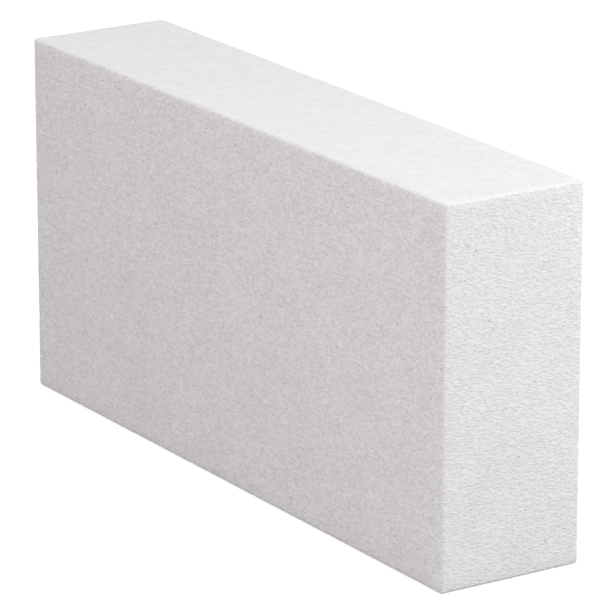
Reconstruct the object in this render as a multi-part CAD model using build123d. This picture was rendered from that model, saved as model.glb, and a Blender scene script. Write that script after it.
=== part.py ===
from build123d import *
import os

# Solid partition block of autoclaved aerated concrete, cast in a cake and cut to size by wires.
# Millimetres. X runs along the length, Y through the thickness and Z up, with the block standing
# on its long narrow bed. The origin is the centre of that bed.

block_length = 600.0     # head to head, one module of the bond
block_thickness = 125.0  # face to face, the thickness of the wall it builds
block_height = 300.0     # bed to bed, the height of one course

# The wire leaves sharp arrises, and stacking and handling rub them down to a small radius.
arris_radius = 2.5


def cut_block():
    """The cut block: the bed's outline raised to the height of the course."""
    with BuildPart() as cut:
        with BuildSketch(Plane.XY):
            Rectangle(block_length, block_thickness)
        extrude(amount=block_height)
    return cut.part


def rub_arrises(block):
    """Rounds all twelve arrises alike, so that the eight corners come out as parts of a ball."""
    return fillet(block.edges(), radius=arris_radius)


block = rub_arrises(cut_block())
block.label = "block"

os.makedirs("parts", exist_ok=True)
export_step(block, "parts/block.step")
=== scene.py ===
import math
import random

import bpy
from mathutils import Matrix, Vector


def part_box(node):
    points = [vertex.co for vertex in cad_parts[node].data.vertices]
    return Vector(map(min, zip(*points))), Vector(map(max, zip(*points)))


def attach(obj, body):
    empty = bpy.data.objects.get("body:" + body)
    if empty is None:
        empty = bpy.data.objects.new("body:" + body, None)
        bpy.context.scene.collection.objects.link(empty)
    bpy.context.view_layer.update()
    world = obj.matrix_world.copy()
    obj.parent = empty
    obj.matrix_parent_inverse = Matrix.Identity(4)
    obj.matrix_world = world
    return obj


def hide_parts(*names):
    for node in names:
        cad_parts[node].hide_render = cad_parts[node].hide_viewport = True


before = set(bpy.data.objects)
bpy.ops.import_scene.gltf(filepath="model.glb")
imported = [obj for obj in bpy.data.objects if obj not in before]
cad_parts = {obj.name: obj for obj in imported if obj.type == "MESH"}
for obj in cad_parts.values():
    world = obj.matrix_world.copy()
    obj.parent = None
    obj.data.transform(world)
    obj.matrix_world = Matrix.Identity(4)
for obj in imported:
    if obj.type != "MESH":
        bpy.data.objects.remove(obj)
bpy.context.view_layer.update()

mm = 0.001
hair = 0.01 * mm           # lengths that differ by less count as equal
cadLow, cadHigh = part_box("block")
blockSize = cadHigh - cadLow
blockCentre = (cadLow + cadHigh) / 2

# The block: one cut piece of aerated concrete. Lengths are in millimetres.
# Pores are the cut bubbles that are wide enough to be real pits, as shares of the net's points.
# A relief is what the wire, stacking and handling took off: its depth, its width along X, Y and Z, and
# how far it is lifted and sharpened, so that crumbs are rare and hollows are not.
blockShape = {
    "arris": 2.5,          # radius of the rubbed edge
    "arrisSegments": 4,
    "arrisCuts": 2,        # extra cuts in each cell along the arrises
    "arrisReach": 1.1,     # a point this near two sides of the block is on an arris, in radii
    "cell": 6.2,           # mean distance between the points that pores are opened at
    "headCell": 3.1,       # the same on the two heads, where the net is closer
    "headRim": 0.9,        # width of the strip round a head that the closer net leaves out, in cells
    "rim": 0.5,            # width of the strip round each face where no point wanders, in cells
    "jitter": 0.33,        # how far the other points wander in their face, as a share of the cell
    "seed": 11,
    "pores": [
        {"share": 0.02, "radius": 1.25, "depth": 1.10, "floor": True},
        {"share": 0.07, "radius": 0.95, "depth": 0.85, "floor": True},
        {"share": 0.18, "radius": 0.75, "depth": 0.70, "floor": False},
        {"share": 0.26, "radius": 0.60, "depth": 0.55, "floor": False},
        {"share": 0.36, "radius": 0.50, "depth": 0.45, "floor": False},
        {"share": 0.30, "radius": 0.60, "depth": 0.50, "floor": False},
    ],
    "headPores": 0.13,     # share of the pores that the heads keep, as their net is so much closer
    "poreSides": 5,        # the fewest edges that meet at a point where a pore is opened
    "poreRoom": 1.5,       # how long each of them is at least, in radii of the pore,
    "poreGap": 0.4,        # and in millimetres on top of that
    "poreWall": 0.4,       # how far the wall of a wide pore slopes in, in radii
    "reliefs": {
        "faceHollows": {"depth": 0.09, "width": (26, 26, 22), "lift": 1.1, "contrast": 1.5},
        "headDrag": {"depth": 0.16, "width": (20, 34, 7), "lift": 1.1, "contrast": 1.6},
        "arrisCrumbs": {"depth": 0.35, "width": (6, 6, 6), "lift": 1.45, "contrast": 3.2},
    },
    "reliefDetail": 2,     # how many times each cloud is overlaid with a finer one
    "reliefFade": 4,       # width of the strip beside an arris where one relief gives way to another
    "smoothAngle": 30,     # in degrees, so that the rims of the pores stay sharp
    "mapGap": 4,           # between the sheets of the flat map
}
arris = blockShape["arris"] * mm
cell = blockShape["cell"] * mm


def makeActive(piece):
    bpy.ops.object.select_all(action="DESELECT")
    piece.select_set(True)
    bpy.context.view_layer.objects.active = piece


def choose(piece, kind, numbers):
    # enters edit mode with nothing selected but these points, edges or faces
    bpy.ops.object.mode_set(mode="EDIT")
    bpy.ops.mesh.select_mode(type=kind)
    bpy.ops.mesh.select_all(action="DESELECT")
    bpy.ops.object.mode_set(mode="OBJECT")
    mesh = piece.data
    parts = {"VERT": mesh.vertices, "EDGE": mesh.edges, "FACE": mesh.polygons}[kind]
    for number in numbers:
        parts[number].select = True
    bpy.ops.object.mode_set(mode="EDIT")


def chooseEdges(piece, test):
    # the same for the edges whose two ends pass a test
    points = piece.data.vertices
    choose(piece, "EDGE", [e.index for e in piece.data.edges if test(*(points[v].co for v in e.vertices))])


def depthInside(point):
    # how far a point lies inside each of the six faces of the block: low X, Y and Z, then high ones
    return [point[a] - cadLow[a] for a in range(3)] + [cadHigh[a] - point[a] for a in range(3)]


def sideOf(point):
    # the number of the face that a point belongs to, in the order of depthInside
    depths = depthInside(point)
    return depths.index(min(depths))


def axisOf(point):
    # 0 on the two heads, 1 on the wide faces and 2 on the beds
    return sideOf(point) % 3


def onFlat(point, margin):
    # true on one flat face, and further than the margin from its neighbours
    depths = sorted(depthInside(point))
    return depths[0] < hair and depths[1] > margin


def startBlock():
    # a cube at the block's size, its arrises rounded, cut into a net of small faces
    bpy.ops.object.select_all(action="DESELECT")
    bpy.ops.mesh.primitive_cube_add(size=1, location=blockCentre, scale=blockSize)
    bpy.ops.object.transform_apply(location=True, rotation=True, scale=True)
    piece = bpy.context.active_object
    piece.name = "aeratedBlock"
    chooseEdges(piece, lambda start, end: True)
    bpy.ops.mesh.bevel(offset=arris, segments=blockShape["arrisSegments"], profile=0.5)
    bpy.ops.object.mode_set(mode="OBJECT")
    for axis in range(3):
        length = blockSize[axis] - 2 * arris
        chooseEdges(piece, lambda start, end: abs(abs(end[axis] - start[axis]) - length) < hair)
        bpy.ops.mesh.subdivide(number_cuts=round(length / cell) - 1)
        bpy.ops.object.mode_set(mode="OBJECT")
    print("net", len(piece.data.polygons), "faces")
    return piece


def cutFiner(piece):
    # closer cuts along the arrises, and a closer net on the two heads
    reach = blockShape["arrisReach"] * arris

    def nearSide(point, axis):
        depths = depthInside(point)
        return min(depths[axis], depths[axis + 3]) < reach

    for axis in range(3):
        others = [a for a in range(3) if a != axis]

        def alongArris(start, end):
            level = all(abs(end[a] - start[a]) < hair for a in others)
            return level and abs(end[axis] - start[axis]) > reach and all(nearSide(start, a) for a in others)

        chooseEdges(piece, alongArris)
        bpy.ops.mesh.subdivide(number_cuts=blockShape["arrisCuts"])
        bpy.ops.object.mode_set(mode="OBJECT")
    margin = arris + blockShape["headRim"] * cell
    heads = [f.index for f in piece.data.polygons if axisOf(f.center) == 0 and onFlat(f.center, margin)]
    choose(piece, "FACE", heads)
    bpy.ops.mesh.subdivide(number_cuts=round(blockShape["cell"] / blockShape["headCell"]) - 1)
    bpy.ops.object.mode_set(mode="OBJECT")
    print("finer net", len(piece.data.polygons), "faces")


def loosenNet(piece):
    # lets the points of each face wander, presses the face flat again and divides it into triangles,
    # so that the pores lie in no rows and get five to seven sides
    margin = arris + blockShape["rim"] * cell
    for side in range(6):
        axis = side % 3
        chosen = [v.index for v in piece.data.vertices if sideOf(v.co) == side and onFlat(v.co, margin)]
        wander = blockShape["jitter"] * (blockShape["headCell"] * mm if axis == 0 else cell)
        choose(piece, "VERT", chosen)
        bpy.ops.transform.vertex_random(offset=wander, seed=blockShape["seed"] + side)
        centre = list(blockCentre)
        centre[axis] = (cadLow if side < 3 else cadHigh)[axis]
        flatten = [0 if a == axis else 1 for a in range(3)]
        bpy.ops.transform.resize(value=flatten, center_override=centre)
        bpy.ops.object.mode_set(mode="OBJECT")
    choose(piece, "FACE", [f.index for f in piece.data.polygons if onFlat(f.center, 0)])
    bpy.ops.mesh.quads_convert_to_tris(quad_method="SHORTEST_DIAGONAL")
    bpy.ops.object.mode_set(mode="OBJECT")


def freePoints(piece, radius, draw, share):
    # draws points of the net with room for a pore of this size, no two of them in one face
    mesh = piece.data
    edgesAt = [0] * len(mesh.vertices)
    shortest = [1] * len(mesh.vertices)
    for edge in mesh.edges:
        start, end = edge.vertices
        length = (mesh.vertices[start].co - mesh.vertices[end].co).length
        for v in (start, end):
            edgesAt[v] += 1
            shortest[v] = min(shortest[v], length)
    room = blockShape["poreRoom"] * radius + blockShape["poreGap"] * mm
    margin = arris + blockShape["rim"] * cell
    facesAt = {v.index: [] for v in mesh.vertices
               if edgesAt[v.index] >= blockShape["poreSides"] and shortest[v.index] > room
               and onFlat(v.co, margin)}
    for face in mesh.polygons:
        for v in face.vertices:
            if v in facesAt:
                facesAt[v].append(face.index)
    taken, chosen = set(), []
    for v in sorted(facesAt):
        onHead = axisOf(mesh.vertices[v].co) == 0
        odds = share * (blockShape["headPores"] if onHead else 1)
        if draw.random() < odds and taken.isdisjoint(facesAt[v]):
            taken.update(facesAt[v])
            chosen.append(v)
    return chosen


def openPores(piece):
    # each pore is a hole with as many sides as its point has edges: a wide one has sloping walls and a
    # floor, a small one is a plain hollow
    draw = random.Random(blockShape["seed"])
    for pore in blockShape["pores"]:
        radius, depth = pore["radius"] * mm, pore["depth"] * mm
        chosen = freePoints(piece, radius, draw, pore["share"])
        choose(piece, "VERT", chosen)
        bpy.ops.mesh.bevel(offset=radius, segments=1, affect="VERTICES")
        bpy.ops.mesh.select_mode(type="FACE")
        if pore["floor"]:
            wall = blockShape["poreWall"] * radius
            bpy.ops.mesh.inset(thickness=wall, depth=-depth, use_individual=True)
        else:
            bpy.ops.mesh.poke(offset=-depth, center_mode="MEDIAN")
        bpy.ops.object.mode_set(mode="OBJECT")
        print("pores of", pore["radius"], "mm:", len(chosen))


def reliefWeight(point, name):
    # how strongly a point takes a relief: whole on its own faces or arrises, fading where they meet
    toArris = sorted(depthInside(point))[1]
    inner = min(1, max(0, (toArris - arris) / (blockShape["reliefFade"] * mm)))
    onHead = axisOf(point) == 0
    weights = {"faceHollows": 0 if onHead else inner, "headDrag": inner if onHead else 0}
    return weights.get(name, 1 - inner)


def wearBlock(piece):
    # each relief is a cloud that presses points inwards only, so the block keeps to its size
    for name, relief in blockShape["reliefs"].items():
        group = piece.vertex_groups.new(name=name)
        for point in piece.data.vertices:
            group.add([point.index], reliefWeight(point.co, name), "REPLACE")
        cloud = bpy.data.textures.new(name, "CLOUDS")
        cloud.noise_scale = 1
        cloud.noise_depth = blockShape["reliefDetail"]
        cloud.intensity = relief["lift"]
        cloud.contrast = relief["contrast"]
        cloud.use_clamp = True
        bpy.ops.object.select_all(action="DESELECT")
        bpy.ops.object.empty_add(location=blockCentre)
        grid = bpy.context.active_object
        grid.scale = [width * mm for width in relief["width"]]
        makeActive(piece)
        bpy.ops.object.modifier_add(type="DISPLACE")
        press = piece.modifiers[-1]
        press.texture = cloud
        press.texture_coords = "OBJECT"
        press.texture_coords_object = grid
        press.vertex_group = name
        press.direction = "NORMAL"
        press.mid_level = 1
        press.strength = relief["depth"] * mm
        bpy.ops.object.modifier_apply(modifier=press.name)
        bpy.data.objects.remove(grid)
        piece.vertex_groups.remove(piece.vertex_groups[name])
        print(name, "pressed in")


block = startBlock()
cutFiner(block)
loosenNet(block)
openPores(block)
wearBlock(block)
block.data.calc_loop_triangles()
print("block done:", len(block.data.loop_triangles), "triangles")

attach(block, "root")
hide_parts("block")


# Autoclaved aerated concrete: sand, lime and cement blown up with fine bubbles, cut by wires while it is
# soft and then steamed hard. To the eye it is matt, nearly white and sandy. Lengths are in millimetres,
# those of grain and bubbles along X, Y and Z, and tones are shares of the colour.
# The real grain is about 0.5 mm, and it is drawn two or three times as coarse so that it shows.
finishes = {
    # the wide faces, cut by the long wires: an even sandy grain, with the cut bubbles as small pits that
    # painted shade darkens
    "wireCutAeratedConcrete": {
        "colour": "#E8E3E4", "grain": (4.0, 1.4, 1.5), "detail": 2, "grainTone": 0.17, "grainDepth": 0.12,
        "bubble": (2.8, 2.2, 2.2), "paintedPoreShade": 0.20, "poreDepth": 0.30, "cloud": 45, "cloudTone": 0.015,
    },
    # the heads, cut across: the wire drags crumbs along and leaves level ripples that catch the light
    "crossCutAeratedConcrete": {
        "colour": "#E6E6E6", "grain": (1.6, 3.1, 1.35), "detail": 0.5, "grainTone": 0.09, "grainDepth": 0.46,
        "bubble": (2.4, 3.0, 2.0), "paintedPoreShade": 0.08, "poreDepth": 0.15, "cloud": 45, "cloudTone": 0.015,
    },
    # the beds, trimmed smooth: hardly any grain, only soft patches of tone
    "trimmedAeratedConcrete": {
        "colour": "#E4E4E4", "grain": (3, 3, 3), "detail": 2, "grainTone": 0.02, "grainDepth": 0.03,
        "bubble": (2.8, 2.6, 2.6), "paintedPoreShade": 0.05, "poreDepth": 0.08, "cloud": 9, "cloudTone": 0.03,
    },
}
finishOfAxis = ["crossCutAeratedConcrete", "wireCutAeratedConcrete", "trimmedAeratedConcrete"]

# What the three finishes share. A bubble is measured in cells, each as wide as "bubble" says.
concreteMix = {
    "widestBubble": 0.42,          # radius of the widest bubble
    "tornEdge": 0.5,               # how far a bubble's rim strays from round
    "tornScale": 1.6,              # how often it strays in each cell
    "poreSlope": (-0.04, 0.30),    # from outside the rim to where the floor is level
    "sandRange": (0.2, 0.8),       # values of the noise that give the darkest and the palest sand
    "sandRoughness": 0.6,          # how much of the finer noise there is in it
    "patchRange": (0.3, 0.7),      # the same as sandRange, for the patches
    "patchDetail": 2,
    "roughness": (0.88, 0.98),     # from dark sand to pale
    "specular": 0.2,               # low, as the surface is open and dusty
}

# A Mix node has several sockets of each name, so those for colours are called by number.
mixFactor, mixFirst, mixSecond, mixResult = 0, 6, 7, 2


def linear(hexColour):
    # sRGB hex to the linear values that a shader socket holds
    values = [int(hexColour[i:i + 2], 16) / 255 for i in (1, 3, 5)]
    return [v / 12.92 if v <= 0.04045 else ((v + 0.055) / 1.055) ** 2.4 for v in values] + [1]


def toned(colour, share):
    # a colour made darker or, above 1, paler
    return [min(1, c * share) for c in colour[:3]] + [1]


def addNode(tree, kind, settings=None, inputs=None):
    node = tree.nodes.new("ShaderNode" + kind)
    for name, value in (settings or {}).items():
        setattr(node, name, value)
    for name, value in (inputs or {}).items():
        socket = node.inputs[name]
        if isinstance(value, bpy.types.NodeSocket):
            tree.links.new(value, socket)
        else:
            socket.default_value = value
    return node


def mixAeratedConcrete(name, look):
    material = bpy.data.materials.new(name)
    material.use_nodes = True
    tree = material.node_tree
    shader = tree.nodes["Principled BSDF"]
    place = addNode(tree, "TexCoord").outputs["Object"]

    # cut bubbles: each cell is open to its own width, some not at all, with a torn rim and a round floor
    inBubbles = [1 / (width * mm) for width in look["bubble"]]
    cells = addNode(tree, "Mapping", inputs={"Vector": place, "Scale": inBubbles}).outputs["Vector"]
    stray = addNode(tree, "TexNoise", inputs={
        "Vector": cells, "Scale": concreteMix["tornScale"], "Detail": 1}).outputs["Color"]
    torn = addNode(tree, "VectorMath", {"operation": "MULTIPLY_ADD"},
                   {0: stray, 1: (concreteMix["tornEdge"],) * 3, 2: cells}).outputs[0]
    bubbles = addNode(tree, "TexVoronoi", inputs={"Vector": torn, "Scale": 1})
    width = addNode(tree, "SeparateColor", inputs={"Color": bubbles.outputs["Color"]}).outputs["Red"]
    rim = addNode(tree, "Math", {"operation": "MULTIPLY"},
                  {0: width, 1: concreteMix["widestBubble"]}).outputs[0]
    inside = addNode(tree, "Math", {"operation": "SUBTRACT"},
                     {0: rim, 1: bubbles.outputs["Distance"]}).outputs[0]
    outer, inner = concreteMix["poreSlope"]
    pore = addNode(tree, "MapRange", {"interpolation_type": "SMOOTHSTEP"},
                   {"Value": inside, "From Min": outer, "From Max": inner}).outputs["Result"]

    # the sandy grain between them, and patches where the mix was a little wetter
    inGrains = [1 / (width * mm) for width in look["grain"]]
    sand = addNode(tree, "Mapping", inputs={"Vector": place, "Scale": inGrains}).outputs["Vector"]
    noise = addNode(tree, "TexNoise", inputs={
        "Vector": sand, "Scale": 1, "Detail": look["detail"], "Roughness": concreteMix["sandRoughness"]})
    low, high = concreteMix["sandRange"]
    grain = addNode(tree, "MapRange", inputs={
        "Value": noise.outputs["Fac"], "From Min": low, "From Max": high}).outputs["Result"]
    cloud = addNode(tree, "TexNoise", inputs={
        "Vector": place, "Scale": 1 / (look["cloud"] * mm), "Detail": concreteMix["patchDetail"]})
    low, high = concreteMix["patchRange"]
    patch = addNode(tree, "MapRange", inputs={
        "Value": cloud.outputs["Fac"], "From Min": low, "From Max": high,
        "To Min": 1 - look["cloudTone"], "To Max": 1 + look["cloudTone"]}).outputs["Result"]

    # dark and pale sand, the patches over it, and painted shade on top that darkens the pores as their own
    # shadow would
    base = linear(look["colour"])
    dim = toned(base, 1 - look["grainTone"])
    bright = toned(base, 1 + look["grainTone"])
    sandy = addNode(tree, "Mix", {"data_type": "RGBA"},
                    {mixFactor: grain, mixFirst: dim, mixSecond: bright}).outputs[mixResult]
    patched = addNode(tree, "Mix", {"data_type": "RGBA", "blend_type": "MULTIPLY"},
                      {mixFactor: 1, mixFirst: sandy, mixSecond: patch}).outputs[mixResult]
    # painted shade: the colour is darkened inside each pore, standing in for the shadow in its hollow
    shadow = addNode(tree, "Math", {"operation": "MULTIPLY"}, {0: pore, 1: look["paintedPoreShade"]}).outputs[0]
    colour = addNode(tree, "Mix", {"data_type": "RGBA"},
                     {mixFactor: shadow, mixFirst: patched, mixSecond: (0, 0, 0, 1)}).outputs[mixResult]

    # the grain stands up and the pores go down
    raised = addNode(tree, "Math", {"operation": "MULTIPLY"},
                     {0: grain, 1: look["grainDepth"] * mm}).outputs[0]
    height = addNode(tree, "Math", {"operation": "MULTIPLY_ADD"},
                     {0: pore, 1: -look["poreDepth"] * mm, 2: raised}).outputs[0]
    bump = addNode(tree, "Bump", inputs={"Strength": 1, "Distance": 1, "Height": height})
    low, high = concreteMix["roughness"]
    rough = addNode(tree, "MapRange", inputs={"Value": grain, "To Min": low, "To Max": high})
    tree.links.new(colour, shader.inputs["Base Color"])
    tree.links.new(rough.outputs["Result"], shader.inputs["Roughness"])
    tree.links.new(bump.outputs["Normal"], shader.inputs["Normal"])
    shader.inputs["Specular IOR Level"].default_value = concreteMix["specular"]
    return material


def dressBlock(piece):
    for name in finishOfAxis:
        piece.data.materials.append(mixAeratedConcrete(name, finishes[name]))
    for face in piece.data.polygons:
        face.material_index = axisOf(face.center)
    makeActive(piece)
    bpy.ops.object.shade_smooth_by_angle(angle=math.radians(blockShape["smoothAngle"]))


def layMap(piece):
    # a flat map of the block for whatever is baked from it: the wide faces and the beds one above the
    # other, the two heads beside them, each seen squarely from outside
    length, thickness, height = blockSize
    gap = blockShape["mapGap"] * mm
    sheets = {
        1: (gap, gap),
        4: (gap, 2 * gap + height),
        2: (gap, 3 * gap + 2 * height),
        5: (gap, 4 * gap + 2 * height + thickness),
        0: (2 * gap + length, gap),
        3: (2 * gap + length, 2 * gap + height),
    }
    tall = 5 * gap + 2 * (height + thickness)
    layer = piece.data.uv_layers.new(name="OFBake")
    for face in piece.data.polygons:
        side = sideOf(face.center)
        across, up = [(1, 2), (0, 2), (0, 1)][side % 3]
        facing = -1 if side in (0, 2, 4) else 1    # these three would lie mirrored
        left, low = sheets[side]
        for loop in face.loop_indices:
            point = piece.data.vertices[piece.data.loops[loop].vertex_index].co - blockCentre
            u = left + blockSize[across] / 2 + facing * point[across]
            v = low + blockSize[up] / 2 + point[up]
            layer.uv[loop].vector = (u / tall, v / tall)


dressBlock(block)
layMap(block)
print("finish and map done")


# Light: an even white sky over a pale floor does most of it. Three soft lamps stand close by, high in
# front, low beside the camera, and behind on the right, which is why the head is paler than the face.
# Turns and rises are in degrees from the front, lengths in metres and powers in watts.
lamps = {
    "frontLamp": {"turn": 0, "rise": 50, "distance": 1.2, "side": 0.8, "power": 2.16},
    "cameraLamp": {"turn": 60, "rise": 15, "distance": 1.2, "side": 0.8, "power": 1.45},
    "rightLamp": {"turn": 130, "rise": 30, "distance": 1.2, "side": 0.8, "power": 5.34},
}
skyLevel = 0.792           # how strongly the sky lights the block, where 1 is white
floorShape = {
    "side": 60,            # metres
    "bounce": "#B3B3B3",   # what the floor sends back to the block
    "paper": 0.65,         # how strongly the camera sees light and shadow on it
    "glow": 0.52,          # what is added to that, so that all but the block's shadow is plain white
}


def outward(turn, rise):
    # the direction from the block to a lamp or the camera
    turn, rise = math.radians(turn), math.radians(rise)
    return Vector((math.sin(turn) * math.cos(rise), -math.cos(turn) * math.cos(rise), math.sin(rise)))


def aim(thing, target, turn, rise, distance):
    # stands a lamp or the camera off from its target and turns it to face it
    back = outward(turn, rise)
    thing.location = Vector(target) + back * distance
    thing.rotation_euler = (-back).to_track_quat("-Z", "Y").to_euler()
    bpy.context.scene.collection.objects.link(thing)


def hangLamp(name, lamp):
    data = bpy.data.lights.new(name, "AREA")
    data.size = lamp["side"]
    data.energy = lamp["power"]
    thing = bpy.data.objects.new(name, data)
    thing.visible_camera = False
    aim(thing, blockCentre, lamp["turn"], lamp["rise"], lamp["distance"])


def setSky():
    # the camera sees plain white, and the block is lit a little less
    world = bpy.data.worlds.new("sky")
    bpy.context.scene.world = world
    world.use_nodes = True
    tree = world.node_tree
    seen = addNode(tree, "LightPath").outputs["Is Camera Ray"]
    strength = addNode(tree, "MapRange", inputs={"Value": seen, "To Min": skyLevel, "To Max": 1})
    background = tree.nodes["Background"]
    background.inputs["Color"].default_value = (1, 1, 1, 1)
    tree.links.new(strength.outputs["Result"], background.inputs["Strength"])


def layFloor():
    # the camera sees white paper with the block's shadow on it, and the block is lit by a greyer floor
    bpy.ops.object.select_all(action="DESELECT")
    bpy.ops.mesh.primitive_plane_add(size=floorShape["side"], location=(0, 0, 0))
    floor = bpy.context.active_object
    floor.name = "floor"
    material = bpy.data.materials.new("mattPaleFloor")
    material.use_nodes = True
    tree = material.node_tree
    tree.nodes.remove(tree.nodes["Principled BSDF"])
    seen = addNode(tree, "LightPath").outputs["Is Camera Ray"]
    bounced = addNode(tree, "BsdfDiffuse", inputs={"Color": linear(floorShape["bounce"])}).outputs[0]
    paper = addNode(tree, "BsdfDiffuse", inputs={"Color": toned([1, 1, 1], floorShape["paper"])}).outputs[0]
    glow = addNode(tree, "Emission", inputs={"Strength": floorShape["glow"]}).outputs[0]
    shown = addNode(tree, "AddShader", inputs={0: paper, 1: glow}).outputs[0]
    either = addNode(tree, "MixShader", inputs={0: seen, 1: bounced, 2: shown}).outputs[0]
    tree.links.new(either, tree.nodes["Material Output"].inputs["Surface"])
    floor.data.materials.append(material)


for name, lamp in lamps.items():
    hangLamp(name, lamp)
setSky()
layFloor()
bpy.context.scene.view_settings.view_transform = "Standard"
print("light and floor done")


# The camera, solved from the seven corners of the block that show in the photo. Degrees and metres.
cameraPlace = {
    "turn": 57.18, "rise": 17.11, "distance": 3.664,
    "target": (0.0100, 0.0073, 0.1356),
    "lens": 271.28,        # in millimetres
    "farthest": 100,       # how far it sees, to the end of the floor
}


def setCamera():
    data = bpy.data.cameras.new("camera")
    data.lens = cameraPlace["lens"]
    data.clip_end = cameraPlace["farthest"]
    camera = bpy.data.objects.new("camera", data)
    aim(camera, cameraPlace["target"], cameraPlace["turn"], cameraPlace["rise"], cameraPlace["distance"])
    bpy.context.scene.camera = camera


setCamera()
